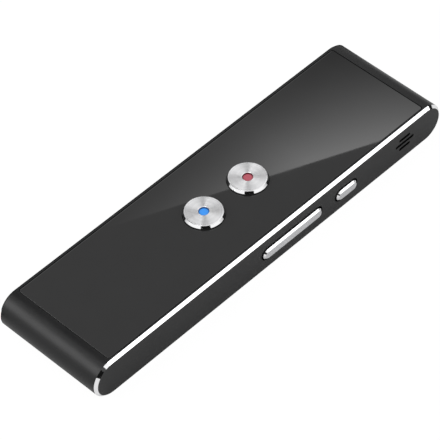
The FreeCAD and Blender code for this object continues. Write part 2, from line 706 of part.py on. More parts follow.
def make_side_key_bracket():
    """The bent bracket: a plate behind the switches, two ears for the pin and two screwed feet."""
    plate = block(bracket_back, flex_back, bracket_y0, bracket_y1, bracket_z0, bracket_z1)
    added = []
    cuts = []
    for z0 in (middle_z + ear_inner, middle_z - ear_outer):
        arm = block(bracket_back, pin_x, rocker_y - EAR_RADIUS, rocker_y + EAR_RADIUS, z0, z0 + EAR_THICKNESS)
        added.append(arm)
        added.append(rod_z(pin_x, rocker_y, z0, z0 + EAR_THICKNESS, EAR_RADIUS))
        cuts.append(rod_z(pin_x, rocker_y, z0 - 1, z0 + EAR_THICKNESS + 1, PIN_RADIUS + PIN_SEAT_CLEARANCE))
    half_foot = BRACKET_FOOT_LENGTH / 2
    for y in bracket_post_places:
        added.append(block(bracket_back - BRACKET_FOOT_REACH, bracket_back, y - half_foot, y + half_foot,
                           bracket_z0, bracket_z0 + BRACKET_THICKNESS))
        cuts.append(rod_z(bracket_post_x, y, bracket_z0 - 1, bracket_z0 + BRACKET_THICKNESS + 1,
                          SCREW_RADIUS + SCREW_SEAT_CLEARANCE))
    return plate.fuse(added).cut(cuts).removeSplitter()


def make_side_key_flex():
    """The flex strip on the bracket, notched round the ears, with a tail to the board."""
    y0 = rocker_switch_places[0] - SIDE_SWITCH_LENGTH / 2 - FLEX_MARGIN
    y1 = power_y + SIDE_SWITCH_LENGTH / 2 + FLEX_MARGIN
    z1 = bracket_z0 + FLEX_HEIGHT
    strip = block(flex_back, side_switch_back, y0, y1, bracket_z0, z1)
    half_notch = EAR_RADIUS + FLEX_NOTCH_MARGIN
    notch = block(flex_back - 1, side_switch_back + 1, rocker_y - half_notch, rocker_y + half_notch,
                  middle_z - ear_outer - FLEX_NOTCH_MARGIN, z1 + 1)
    half_tail = FLEX_TAIL_WIDTH / 2
    tail_z = max(board_top, bracket_z1) + FLEX_TAIL_LIFT
    riser = block(flex_back, side_switch_back, flex_tail_y - half_tail, flex_tail_y + half_tail,
                  z1 - FLEX_HEIGHT / 2, tail_z)
    tail = block(connector_x + CONNECTOR_SIZE[0] / 2, side_switch_back, flex_tail_y - half_tail,
                 flex_tail_y + half_tail, tail_z, tail_z + FLEX_THICKNESS)
    return strip.cut(notch).fuse([riser, tail]).removeSplitter()


def make_bracket_screws():
    """The two screws that hold the bracket's feet."""
    seat = bracket_z0 + BRACKET_THICKNESS
    return together([screw(bracket_post_x, y, seat) for y in bracket_post_places])


def make_speaker_frame():
    """The speaker's frame, open at the front for the diaphragm and at the back for the magnet."""
    front = gasket_back
    body = plate_x(speaker_y, speaker_z, speaker_back, front, SPEAKER_LENGTH, SPEAKER_HEIGHT,
                   SPEAKER_CORNER_RADIUS)
    rim = 2 * SPEAKER_RIM
    recess = plate_x(speaker_y, speaker_z, front - SPEAKER_RECESS, front + 1, SPEAKER_LENGTH - rim,
                     SPEAKER_HEIGHT - rim, SPEAKER_CORNER_RADIUS)
    border = rim + 2 * SPEAKER_LEDGE
    window = plate_x(speaker_y, speaker_z, speaker_back - 1, front, SPEAKER_LENGTH - border,
                     SPEAKER_HEIGHT - border, SPEAKER_CORNER_RADIUS)
    return body.cut([recess, window])


def make_speaker_magnet():
    """The magnet in the frame's window, behind the diaphragm's dome."""
    border = 2 * (SPEAKER_RIM + SPEAKER_LEDGE + MAGNET_CLEARANCE)
    front = gasket_back - SPEAKER_RECESS - MAGNET_CLEARANCE
    return plate_x(speaker_y, speaker_z, speaker_back, front, SPEAKER_LENGTH - border,
                   SPEAKER_HEIGHT - border, SPEAKER_CORNER_RADIUS - MAGNET_CLEARANCE)


def make_speaker_diaphragm():
    """The diaphragm in the frame's front recess, with a raised middle."""
    back = gasket_back - SPEAKER_RECESS
    middle = back + DIAPHRAGM_THICKNESS
    size_y = SPEAKER_LENGTH - 2 * (SPEAKER_RIM + DIAPHRAGM_CLEARANCE)
    size_z = SPEAKER_HEIGHT - 2 * (SPEAKER_RIM + DIAPHRAGM_CLEARANCE)
    sheet = plate_x(speaker_y, speaker_z, back, middle, size_y, size_z, SPEAKER_CORNER_RADIUS)
    dome = plate_x(speaker_y, speaker_z, middle, middle + DIAPHRAGM_DOME, size_y - 2 * DIAPHRAGM_BORDER,
                   size_z - 2 * DIAPHRAGM_BORDER, SPEAKER_CORNER_RADIUS)
    return sheet.fuse(dome)


def make_speaker_gasket():
    """The foam ring between the speaker and the mesh."""
    outer = plate_x(speaker_y, speaker_z, gasket_back, mesh_back, SPEAKER_LENGTH, SPEAKER_HEIGHT,
                    SPEAKER_CORNER_RADIUS)
    inner = plate_x(speaker_y, speaker_z, gasket_back - 1, mesh_back + 1, SPEAKER_LENGTH - 2 * GASKET_WIDTH,
                    SPEAKER_HEIGHT - 2 * GASKET_WIDTH, SPEAKER_CORNER_RADIUS)
    return outer.cut(inner)


def make_speaker_mesh():
    """The dust mesh glued over the slots from inside."""
    return plate_x(speaker_y, speaker_z, mesh_back, cavity_half_x, SPEAKER_LENGTH - 2 * MESH_MARGIN,
                   SPEAKER_HEIGHT - 2 * MESH_MARGIN, SPEAKER_CORNER_RADIUS)


def make_speaker_wires():
    """Two wires from the back of the speaker down onto the board."""
    rest_z = board_top + SPEAKER_WIRE_RADIUS + WIRE_REST_GAP
    high_z = rest_z + SPEAKER_WIRE_RISE
    wires = []
    for side in (-1, 1):
        y = speaker_y + side * SPEAKER_WIRE_PITCH / 2
        x = speaker_back
        route = [
            point(x, y, high_z),
            point(x - SPEAKER_WIRE_RUN, y, high_z),
            point(x - 2 * SPEAKER_WIRE_RUN, y, rest_z),
            point(x - 3 * SPEAKER_WIRE_RUN, y, rest_z),
        ]
        wires.append(wire_along(route, SPEAKER_WIRE_RADIUS))
    return together(wires)


def battery_plate(z0, z1, margin):
    """A plate over the battery, smaller than it by a margin all round."""
    x = (battery_x0 + battery_x1) / 2
    y = (battery_y0 + battery_y1) / 2
    size_x = battery_width - 2 * margin
    size_y = battery_length - 2 * margin
    return plate_z(x, y, z0, z1, size_x, size_y, BATTERY_CORNER_RADIUS)


def make_battery():
    """The flat pouch cell."""
    return battery_plate(battery_bottom, battery_top, 0)


def make_battery_tape():
    """The tape that holds the cell to the floor."""
    return battery_plate(BACK_WALL, battery_bottom, TAPE_MARGIN)


def make_battery_foam():
    """The foam pad between the cell and the inner frame."""
    return battery_plate(battery_top, inner_frame_bottom, FOAM_MARGIN)


def make_inner_frame():
    """The plastic plate that backs the board over the cell, with a row of windows."""
    plate = battery_plate(inner_frame_bottom, board_bottom, -INNER_FRAME_MARGIN)
    x = (battery_x0 + battery_x1) / 2
    pitch = battery_length / INNER_FRAME_WINDOW_COUNT
    windows = []
    for index in range(INNER_FRAME_WINDOW_COUNT):
        y = battery_y0 + pitch * (index + 0.5)
        windows.append(plate_z(x, y, inner_frame_bottom - 1, board_bottom + 1, INNER_FRAME_WINDOW,
                               INNER_FRAME_WINDOW, BATTERY_CORNER_RADIUS))
    return plate.cut(windows)


def make_battery_board():
    """The narrow protection board at the cell's +Y end."""
    x = (battery_x0 + battery_x1) / 2
    z = (battery_bottom + battery_top) / 2
    half_x = BATTERY_BOARD_WIDTH / 2
    half_z = BATTERY_BOARD_HEIGHT / 2
    end_y = battery_y1 + BATTERY_BOARD_LENGTH
    return block(x - half_x, x + half_x, battery_y1, end_y, z - half_z, z + half_z)


def battery_plug_place():
    """The plug's middle across the body, its -Y face and the height of its wires."""
    x = (battery_x0 + battery_x1) / 2
    y = battery_y1 + BATTERY_BOARD_LENGTH + BATTERY_WIRE_RUN
    z = board_bottom - BATTERY_SOCKET_SIZE[2] / 2
    return x, y, z


def make_battery_wire(side):
    """One wire from the protection board up to the plug."""
    x, end_y, end_z = battery_plug_place()
    x += side * BATTERY_WIRE_PITCH / 2
    start_y = battery_y1 + BATTERY_BOARD_LENGTH
    start_z = end_z - BATTERY_WIRE_LIFT - BATTERY_SOCKET_SIZE[2] / 2
    third = BATTERY_WIRE_RUN / 3
    route = [
        point(x, start_y, start_z),
        point(x, start_y + third, start_z),
        point(x, end_y - third, end_z),
        point(x, end_y, end_z),
    ]
    return wire_along(route, BATTERY_WIRE_RADIUS)


def make_battery_plug():
    """The plug on the cell's two wires."""
    x, y, z = battery_plug_place()
    size_x, size_y, size_z = BATTERY_PLUG_SIZE
    return block(x - size_x / 2, x + size_x / 2, y, y + size_y, z - size_z / 2, z + size_z / 2)


def make_battery_socket():
    """The socket under the board that the plug pushes against."""
    x, y, z = battery_plug_place()
    size_x, size_y, size_z = BATTERY_SOCKET_SIZE
    y0 = y + BATTERY_PLUG_SIZE[1]
    return block(x - size_x / 2, x + size_x / 2, y0, y0 + size_y, board_bottom - size_z, board_bottom)


def make_main_board():
    """The main board, notched for the side keys, the speaker and the charging socket."""
    board = plate_z(0, 0, board_bottom, board_top, 2 * board_half_x, 2 * board_half_y, BOARD_CORNER_RADIUS)
    low = board_bottom - 1
    high = board_top + 1
    notch_y0 = bracket_y0 - BOARD_NOTCH_CLEARANCE
    notch_y1 = bracket_y1 + BOARD_NOTCH_CLEARANCE
    cuts = [
        block(board_notch_x, half_width, notch_y0, notch_y1, low, high),
        block(board_speaker_x, half_width, board_speaker_y, half_length, low, high),
        block(-SOCKET_WIDTH / 2 - SOCKET_CLEARANCE, SOCKET_WIDTH / 2 + SOCKET_CLEARANCE,
              socket_back_y - SOCKET_CLEARANCE, half_length, low, high),
    ]
    for x, y in post_places:
        cuts.append(rod_z(x, y, low, high, SCREW_RADIUS + SCREW_HOLE_CLEARANCE))
    return board.cut(cuts)


def make_board_screws():
    """The four screws that hold the board on its posts."""
    return together([screw(x, y, board_top) for x, y in post_places])


def make_shield(size, x, y):
    """A thin metal can over chips, open towards the board."""
    size_x, size_y = size
    top = board_top + SHIELD_HEIGHT
    outer = plate_z(x, y, board_top, top, size_x, size_y, SHIELD_CORNER_RADIUS)
    walls = 2 * SHIELD_WALL
    inner = plate_z(x, y, board_top - 1, top - SHIELD_WALL, size_x - walls, size_y - walls,
                    SHIELD_CORNER_RADIUS - SHIELD_WALL)
    return outer.cut(inner)


def make_board_capacitors():
    """Rows of small parts beside the shields and the audio chip."""
    row_span = CAPACITOR_PITCH * (CAPACITOR_ROW - 1)
    beside_shield = PROCESSOR_SHIELD_SIZE[1] / 2 + CAPACITOR_PITCH
    rows = (
        (-row_span / 2, processor_shield_y + beside_shield),
        (-row_span / 2, processor_shield_y - beside_shield),
        (audio_place[0] - row_span, audio_place[1] + AUDIO_SIZE[1]),
    )
    return together([chip(CAPACITOR_SIZE, x + index * CAPACITOR_PITCH, y)
                     for x, y in rows for index in range(CAPACITOR_ROW)])


def make_side_key_connector():
    """The connector on the board that takes the flex strip's tail."""
    return chip(CONNECTOR_SIZE, connector_x, flex_tail_y)


def make_usb_shell():
    """The charging socket's metal shell, flared at its mouth, with two ears on the board."""
    half = SOCKET_HEIGHT / 2
    shell = plate_y(0, middle_z, socket_back_y, socket_front_y, SOCKET_WIDTH, SOCKET_HEIGHT, half)
    ears = []
    ear_y = min(cavity_half_y, socket_back_y + SOCKET_EAR_LENGTH)
    for side in (-1, 1):
        inner = side * (SOCKET_WIDTH / 2 - half)
        outer = side * (SOCKET_WIDTH / 2 + SOCKET_EAR_WIDTH)
        ears.append(block(min(inner, outer), max(inner, outer), socket_back_y, ear_y, board_top,
                          board_top + SOCKET_EAR_THICKNESS))
    shell = shell.fuse(ears)
    wall = 2 * SOCKET_WALL
    bore = plate_y(0, middle_z, socket_back_y + SOCKET_WALL, socket_front_y + 1, SOCKET_WIDTH - wall,
                   SOCKET_HEIGHT - wall, half - SOCKET_WALL)
    return shell.cut(bore)


def make_usb_tongue():
    """The contact tongue on its base block inside the shell."""
    wall = 2 * (SOCKET_WALL + DOT_CLEARANCE)
    back = socket_back_y + SOCKET_WALL
    height = SOCKET_HEIGHT - wall
    base = plate_y(0, middle_z, back, back + SOCKET_BASE, SOCKET_WIDTH - wall, height, height / 2)
    tongue = plate_y(0, middle_z, back + SOCKET_BASE, socket_front_y - TONGUE_SET_BACK, TONGUE_WIDTH,
                     TONGUE_THICKNESS, TONGUE_THICKNESS / 4)
    return base.fuse(tongue)


def make_microphone():
    """The microphone under the board, facing its hole in the +Y end."""
    size_x, size_y, size_z = MICROPHONE_SIZE
    return block(microphone_x - size_x / 2, microphone_x + size_x / 2, microphone_front_y - size_y,
                 microphone_front_y, board_bottom - size_z, board_bottom)


def make_microphone_boot():
    """The rubber boot that seals the microphone against the end wall."""
    size_x, size_y, size_z = MICROPHONE_SIZE
    half_x = size_x / 2 + BOOT_WALL
    microphone_back_y = microphone_front_y - size_y
    bottom = min(board_bottom - size_z, middle_z - MICROPHONE_HOLE_RADIUS) - BOOT_WALL
    boot = block(microphone_x - half_x, microphone_x + half_x, microphone_back_y - BOOT_WALL, cavity_half_y,
                 bottom, board_bottom)
    pocket_x = size_x / 2 + BOOT_CLEARANCE
    pocket = block(microphone_x - pocket_x, microphone_x + pocket_x, microphone_back_y - BOOT_CLEARANCE,
                   microphone_front_y + BOOT_CLEARANCE, board_bottom - size_z - BOOT_CLEARANCE,
                   board_bottom + 1)
    duct = rod_y(microphone_x, middle_z, microphone_front_y - size_y / 2, cavity_half_y + 1,
                 MICROPHONE_HOLE_RADIUS)
    return boot.cut([pocket, duct])


def make_antenna():
    """The flat antenna stuck under the panel at the -Y end."""
    size_x, size_y, thickness = ANTENNA_SIZE
    y0 = -cavity_half_y + ANTENNA_END_GAP
    return block(-size_x / 2, size_x / 2, y0, y0 + size_y, panel_bottom - thickness, panel_bottom)


def antenna_cable_route():
    """From under the antenna, forward and down to the plug on the board."""
    high_z = panel_bottom - ANTENNA_SIZE[2] - CABLE_RADIUS - WIRE_REST_GAP
    low_z = board_top + CABLE_PLUG_HEIGHT / 2
    y = -cavity_half_y + ANTENNA_END_GAP + ANTENNA_SIZE[1] / 2
    return [
        point(CABLE_X, y, high_z),
        point(CABLE_X, y + CABLE_FLAT_RUN, high_z),
        point(CABLE_X, y + CABLE_FLAT_RUN + CABLE_DROP_RUN, low_z),
        point(CABLE_X, y + 2 * CABLE_FLAT_RUN + CABLE_DROP_RUN, low_z),
    ]


def make_antenna_plug():
    """The round plug on the board at the end of the antenna cable."""
    y = antenna_cable_route()[-1].y + CABLE_PLUG_RADIUS
    plug = rod_z(CABLE_X, y, board_top, board_top + CABLE_PLUG_HEIGHT, CABLE_PLUG_RADIUS)
    half = CABLE_RADIUS + WIRE_REST_GAP
    sleeve = block(CABLE_X - half, CABLE_X + half, y - CABLE_PLUG_RADIUS, y, board_top,
                   board_top + CABLE_PLUG_HEIGHT)
    return plug.fuse(sleeve).removeSplitter()


def make_parts():
    """Every node's name and solid."""
    blue_y, red_y = key_centres
    down_y, up_y = rocker_switch_places
    processor_x = -PROCESSOR_OFFSET
    parts = {
        "housing": make_housing(),
        "front_panel": make_front_panel(),
        "panel_adhesive": make_panel_adhesive(),
        "key_guide": make_key_guide(),
        "volume_rocker": make_volume_rocker(),
        "rocker_pin": make_rocker_pin(),
        "power_button": make_power_button(),
        "power_plunger": make_side_plunger(power_y),
        "power_switch": make_side_switch(power_y),
        "volume_up_plunger": make_side_plunger(up_y),
        "volume_up_switch": make_side_switch(up_y),
        "volume_down_plunger": make_side_plunger(down_y),
        "volume_down_switch": make_side_switch(down_y),
        "side_key_bracket": make_side_key_bracket(),
        "side_key_flex": make_side_key_flex(),
        "side_key_connector": make_side_key_connector(),
        "bracket_screws": make_bracket_screws(),
        "speaker_frame": make_speaker_frame(),
        "speaker_magnet": make_speaker_magnet(),
        "speaker_diaphragm": make_speaker_diaphragm(),
        "speaker_gasket": make_speaker_gasket(),
        "speaker_mesh": make_speaker_mesh(),
        "speaker_wires": make_speaker_wires(),
        "battery": make_battery(),
        "battery_tape": make_battery_tape(),
        "battery_foam": make_battery_foam(),
        "battery_board": make_battery_board(),
        "battery_wire_red": make_battery_wire(-1),
        "battery_wire_black": make_battery_wire(1),
        "battery_plug": make_battery_plug(),
        "battery_socket": make_battery_socket(),
        "inner_frame": make_inner_frame(),
        "main_board": make_main_board(),
        "board_screws": make_board_screws(),
        "processor_chip": chip(PROCESSOR_SIZE, processor_x, processor_shield_y),
        "memory_chip": chip(MEMORY_SIZE, MEMORY_OFFSET, processor_shield_y),
        "processor_shield": make_shield(PROCESSOR_SHIELD_SIZE, 0, processor_shield_y),
        "radio_chip": chip(RADIO_SIZE, RADIO_SHIELD_X, radio_shield_y),
        "radio_shield": make_shield(RADIO_SHIELD_SIZE, RADIO_SHIELD_X, radio_shield_y),
        "audio_chip": chip(AUDIO_SIZE, *audio_place),
        "charge_chip": chip(CHARGE_SIZE, *charge_place),
        "crystal": chip(CRYSTAL_SIZE, *crystal_place),
        "board_capacitors": make_board_capacitors(),
        "usb_shell": make_usb_shell(),
        "usb_tongue": make_usb_tongue(),
        "microphone": make_microphone(),
        "microphone_boot": make_microphone_boot(),
        "antenna": make_antenna(),
        "antenna_cable": wire_along(antenna_cable_route(), CABLE_RADIUS),
        "antenna_plug": make_antenna_plug(),
    }
    for colour, y in (("blue", blue_y), ("red", red_y)):
        parts[colour + "_key_cap"] = make_key_cap(y)
        parts[colour + "_key_dot"] = make_key_dot(y)
        parts[colour + "_key_carrier"] = make_key_carrier(y)
        parts[colour + "_key_plunger"] = make_key_plunger(y)
        parts[colour + "_key_switch"] = make_key_switch(y)
    return parts


def main():
    os.makedirs("parts", exist_ok=True)
    for name, solid in make_parts().items():
        solid.exportStep("parts/" + name + ".step")
        print(name, "solids", len(solid.Solids), "volume", round(solid.Volume, 2), "valid", solid.isValid())


main()
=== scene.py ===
import json
import math

import bpy
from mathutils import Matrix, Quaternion, Vector


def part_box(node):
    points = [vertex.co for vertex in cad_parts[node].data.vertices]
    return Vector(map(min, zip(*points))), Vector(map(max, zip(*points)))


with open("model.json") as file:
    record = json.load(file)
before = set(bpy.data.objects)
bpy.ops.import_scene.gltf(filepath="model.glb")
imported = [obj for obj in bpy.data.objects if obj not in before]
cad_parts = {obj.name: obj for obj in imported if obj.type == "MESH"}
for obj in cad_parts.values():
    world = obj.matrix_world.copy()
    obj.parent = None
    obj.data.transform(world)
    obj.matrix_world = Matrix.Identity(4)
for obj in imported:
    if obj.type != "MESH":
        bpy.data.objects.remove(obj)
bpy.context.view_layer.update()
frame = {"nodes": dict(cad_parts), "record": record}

MM = 0.001

# Camera, fitted to the photograph's outline
CAMERA_TARGET = Vector((-0.243, -2.431, 5.0)) * MM
CAMERA_AZIMUTH = math.radians(45.518)
CAMERA_ELEVATION = math.radians(48.015)
CAMERA_ROLL = math.radians(-2.088)
CAMERA_DISTANCE = 772.5 * MM
CAMERA_LENS = 224.23
CAMERA_SENSOR = 36.0

# Surfaces that the reflections are laid out for
PANEL_Z = 13 * MM
CARD_HEIGHT = 250 * MM

# The bright card: its level across and along, from where to where, in metres at the cards' height
BRIGHT_ACROSS = (0.7, 4.4)
BRIGHT_BEND = 1.6
BRIGHT_CARD_X = (-0.1797, -0.1287)
BRIGHT_RISE = (0.75, 1.0)
BRIGHT_RISE_Y = (0.110, 0.181)
BRIGHT_FALL = (1.08, 0.36)
BRIGHT_FALL_Y = (0.181, 0.2434)

# Levels of the light
WORLD_FILL = 0.62
FLOOR_SIZE = 5.0
FLOOR_COLOUR = (0.8, 0.8, 0.8, 1)
FLOOR_GLOW = 1.04
FLOOR_GLOW_SEEN = 0.93
FLOOR_GLOW_MIRRORED = 0.15
FLOOR_DROP = 0.05 * MM

# Dark cross for the spun keys
WEDGE_CARD_LEVEL = 0.25
ARM_DISTANCE = 600 * MM
ARM_NEAR_HALF = 25 * MM
ARM_FAR_HALF = 110 * MM

# Cards laid out by where the camera sees them mirrored in the panel: level, and corners in millimetres
DARK_CARDS = (
    ("dark_card", 0.53, ((26.5, 66), (-26.5, -54.8), (-26.5, -98), (26.5, -98))),
    ("darker_card", 0.08, ((-60, -98), (-60, -172), (80, -172), (60, -98))),
)
BRIGHT_CARD_CORNERS = ((26.5, 66), (-26.5, -54.8), (-26.5, 66))

# Upright flags: the point they are seen from, direction, distance, width, height (millimetres) and level
FLAGS = (
    ("near_end_flag", (18.5, -64, 12.6), (0.878, -0.21, 0.43), 300, 60, 110, 0.07),
    ("far_end_flag", (18.5, 64, 12.6), (0.467, 0.873, 0.131), 300, 66, 160, 0.01),
    ("key_flag", (0, 0, 14), (0.775, -0.632, 0.1), 420, 340, 300, 0.007),
    ("right_key_flag", (0, 0, 14), (0.2145, 0.9293, 0.3007), 1500, 1092, 776, 0.02),
    ("left_key_flag", (0, 0, 14), (-0.9226, -0.2428, 0.3007), 1500, 1077, 776, 0.02),
    ("far_end_card", (0, 64, 12.6), (-0.218, 0.943, 0.25), 900, 620, 520, 0.35),
)

# The card on the floor beside the body: corners in millimetres, and level
SIDE_CARD_CORNERS = ((-26, -90, 1), (-75, -90, 1), (-75, 120, 1), (-26, 120, 1))
SIDE_CARD_LEVEL = 0.02

# Arms of the dark cross, each from its near direction to its far one
WEDGE_ARMS = (
    ((-0.335, 0.616, 0.712), (-0.007, 0.955, 0.298)),
    ((-0.62, 0.322, 0.716), (-0.951, -0.022, 0.308)),
    ((-0.605, 0.594, 0.53), (-0.72, 0.69, 0.05)),
    ((-0.312, 0.308, 0.898), (0.291, -0.284, 0.914)),
)

# Lamps: direction, distance and size in metres, and power in watts
LAMPS = (
    ("key_lamp", (0.7, 0.52, 0.5), 1.0, 0.8, 2.0),
    ("top_lamp", (-0.22, -0.2, 0.95), 1.0, 0.35, 1.0),
    ("end_lamp", (-0.477, -0.7, 0.53), 0.8, 0.42, 2.0),
)

# Grain of the finishes
CLOUD_SIZE = 6 * MM

# Black anodising
ANODISED_COLOUR = (0.0075, 0.0076, 0.008)
ANODISED_ROUGHNESS = (0.34, 0.4)
ANODISED_IOR = 1.36
ANODISED_GRAIN = 0.11 * MM
ANODISED_CLOUDS = 9 * MM
ANODISED_DEPTH = 0.004 * MM

# Polished metal
CUTTER_LINE_PITCH = 0.08 * MM
CUTTER_LINE_DEPTH = 0.0004 * MM
CUTTER_LINE_SQUEEZE = (1, 0.04, 1)
POLISH_CLOUDS = 4 * MM
EDGE_POLISH = ((0.95, 0.95, 0.96), 0.06)
KEY_EDGE_POLISH = ((0.94, 0.94, 0.95), 0.07)

# Gloss panel, and the painted highlight along its far long edge (a lighter strip of its base colour)
PANEL_COLOUR = (0.019, 0.019, 0.0192)
PANEL_ROUGHNESS = (0.01, 0.025)
PANEL_IOR = 1.5
PANEL_HAZE = 12 * MM
PANEL_RIPPLE = 25 * MM
PANEL_RIPPLE_DEPTH = 0.002 * MM
PANEL_PAINTED_HIGHLIGHT_TONE = 3.2
PANEL_PAINTED_HIGHLIGHT_X = (-17.28 * MM, -17.2 * MM)

# Spun key faces
SPUN_COLOUR = (0.8, 0.8, 0.81)
SPUN_ROUGHNESS = (0.33, 0.37)
SPUN_ANISOTROPY = 0.95
SPUN_TURN = 0.25
FINE_RING_PITCH = 0.16 * MM
BROAD_RING_PITCH = 0.7 * MM
RING_DEPTH = 0.002 * MM

# Enamel dots
DOT_COLOURS = (("blue", (0.045, 0.34, 1.0)), ("red", (0.5, 0.085, 0.12)))
# Painted shade: the enamel darkens towards each dot's rim; the tone there, and where the darkening starts as
# a share of the radius
DOT_PAINTED_SHADE_TONE = 0.3
DOT_PAINTED_SHADE_START = 0.75
DOT_ROUGHNESS = (0.14, 0.2)
DOT_IOR = 1.5
DOT_CLOUDS = 0.5 * MM
DOT_CLOUD_DEPTH = 0.004 * MM

# Speaker cloth
CLOTH_COLOUR = (0.003, 0.003, 0.0031)
CLOTH_ROUGHNESS = (0.75, 0.9)
CLOTH_IOR = 1.15
CLOTH_THREAD = 0.14 * MM
CLOTH_DEPTH = 0.03 * MM
# Blender's wave texture repeats about 20 times per unit at scale 1
WAVES_PER_SCALE = 20

# Where a face of the housing, the panel, a side key or a round key changes its finish
CHAMFER_TILT = (0.6, 0.8)
CHAMFER_FROM_X = 18.05 * MM
SLOT_WALL_TILT = 0.5
SLOT_WALL_FROM_X = 16 * MM
PANEL_FACE_TILT = 0.95
SIDE_FACE_TILT = 0.97
SIDE_BEVEL_TILT = 0.2
KEY_FACE_TILT = 0.99
KEY_RIM_TILT = 0.8
KEY_BEVEL_TILT = 0.2
KEY_POCKET_RADIUS = 2 * MM


def new_tree(name):
    """A material with an empty node tree."""
    material = bpy.data.materials.new(name)
    material.use_nodes = True
    material.node_tree.nodes.clear()
    return material, material.node_tree


def add(tree, kind, inputs=None, **settings):
    """A node with its settings, and its inputs linked or set."""
    made = tree.nodes.new("ShaderNode" + kind)
    for key, value in settings.items():
        setattr(made, key, value)
    for key, value in (inputs or {}).items():
        if isinstance(value, bpy.types.NodeSocket):
            tree.links.new(value, made.inputs[key])
        else:
            made.inputs[key].default_value = value
    return made


def noise(tree, place, size, detail=3.0, roughness=0.5):
    """Soft cloudy values whose blobs are about the given size across."""
    made = add(tree, "TexNoise", {
        "Vector": place, "Scale": 1 / size, "Detail": detail, "Roughness": roughness,
    })
    return made.outputs["Fac"]


def stretch(tree, value, low, high, source_low=0.3, source_high=0.7):
    """A value moved from one range to another."""
    made = add(tree, "MapRange", {
        "Value": value, "From Min": source_low, "From Max": source_high, "To Min": low, "To Max": high,
    })
    return made.outputs["Result"]


def maths(tree, operation, first, second):
    """Two numbers put together."""
    return add(tree, "Math", {0: first, 1: second}, operation=operation).outputs["Value"]


def tinted(tree, colour, tone):
    """A colour made lighter or darker by a number."""
    made = add(tree, "VectorMath", {0: colour, "Scale": tone}, operation="SCALE")
    return made.outputs["Vector"]


def object_place(tree):
    """Place on the object, in metres."""
    return add(tree, "TexCoord").outputs["Object"]


def surface(material, tree, inputs, height=None, depth=0.0):
    """The shader and the output, with a bump where there is one."""
    inputs = dict(inputs)
    if height is not None:
        bump = add(tree, "Bump", {"Height": height, "Distance": depth, "Strength": 1.0})
        inputs["Normal"] = bump.outputs["Normal"]
    shader = add(tree, "BsdfPrincipled", inputs)
    add(tree, "OutputMaterial", {"Surface": shader.outputs["BSDF"]})
    return material


def plain_finish(name, colour, roughness, grain, depth, metallic=0.0, spread=0.12, **extra):
    """A finish with cloudy tone, uneven roughness and a fine grain."""
    material, tree = new_tree(name)
    place = object_place(tree)
    grains = noise(tree, place, grain * MM, 4.0, 0.6)
    clouds = noise(tree, place, CLOUD_SIZE)
    tone = maths(tree, "MULTIPLY", stretch(tree, clouds, 1 - spread, 1 + spread),
                 stretch(tree, grains, 1 - spread, 1 + spread))
    inputs = {
        "Base Color": tinted(tree, colour, tone),
        "Roughness": stretch(tree, grains, roughness * 0.85, roughness * 1.15),
        "Metallic": metallic,
        **extra,
    }
    return surface(material, tree, inputs, grains, depth * MM)


def anodised_finish():
    """Fine blasted black anodising on metal."""
    material, tree = new_tree("anodised_shell")
    place = object_place(tree)
    grains = noise(tree, place, ANODISED_GRAIN, 4.0, 0.65)
    clouds = noise(tree, place, ANODISED_CLOUDS, 4.0)
    tone = maths(tree, "MULTIPLY", stretch(tree, clouds, 0.9, 1.1), stretch(tree, grains, 0.75, 1.25))
    inputs = {
        "Base Color": tinted(tree, ANODISED_COLOUR, tone),
        "Roughness": stretch(tree, clouds, *ANODISED_ROUGHNESS),
        "IOR": ANODISED_IOR,
    }
    return surface(material, tree, inputs, grains, ANODISED_DEPTH)


def polished_finish(name, colour, roughness):
    """Cut and polished metal, with the cutter's faint lines along the length."""
    material, tree = new_tree(name)
    place = object_place(tree)
    long_lines = add(tree, "Mapping", {"Vector": place, "Scale": CUTTER_LINE_SQUEEZE}).outputs["Vector"]
    lines = noise(tree, long_lines, CUTTER_LINE_PITCH, 2.0)
    clouds = noise(tree, place, POLISH_CLOUDS)
    inputs = {
        "Base Color": tinted(tree, colour, stretch(tree, lines, 0.97, 1.02)),
        "Roughness": stretch(tree, clouds, roughness * 0.8, roughness * 1.2),
        "Metallic": 1.0,
    }
    return surface(material, tree, inputs, lines, CUTTER_LINE_DEPTH)


def panel_finish():
    """Gloss black glass-like moulding with the faintest haze, and a painted highlight: lighter base colour
    along its far long edge.
    """
    material, tree = new_tree("gloss_panel")
    place = object_place(tree)
    haze = noise(tree, place, PANEL_HAZE, 5.0, 0.6)
    ripple = noise(tree, place, PANEL_RIPPLE, 1.0)
    across = add(tree, "SeparateXYZ", {"Vector": place}).outputs["X"]
    # Painted highlight: the base colour is lighter in a thin strip along the far long edge
    edge = stretch(tree, across, PANEL_PAINTED_HIGHLIGHT_TONE, 1.0, *PANEL_PAINTED_HIGHLIGHT_X)
    tone = maths(tree, "MULTIPLY", edge, stretch(tree, haze, 0.95, 1.05))
    inputs = {
        "Base Color": tinted(tree, PANEL_COLOUR, tone),
        "Roughness": stretch(tree, haze, *PANEL_ROUGHNESS),
        "IOR": PANEL_IOR,
    }
    return surface(material, tree, inputs, ripple, PANEL_RIPPLE_DEPTH)


def ring_radius(tree, centre):
    """Distance from an upright line through the centre, in metres."""
    place = object_place(tree)
    moved = add(tree, "VectorMath", {0: place, 1: centre}, operation="SUBTRACT").outputs["Vector"]
    flat = add(tree, "VectorMath", {0: moved, 1: (1, 1, 0)}, operation="MULTIPLY").outputs["Vector"]
    return add(tree, "VectorMath", {0: flat}, operation="LENGTH").outputs["Value"]


def rings(tree, radius, pitch, detail=2.0):
    """Uneven rings of about the given pitch."""
    made = add(tree, "TexNoise", {"W": radius, "Scale": 1 / pitch, "Detail": detail}, noise_dimensions="1D")
    return made.outputs["Fac"]


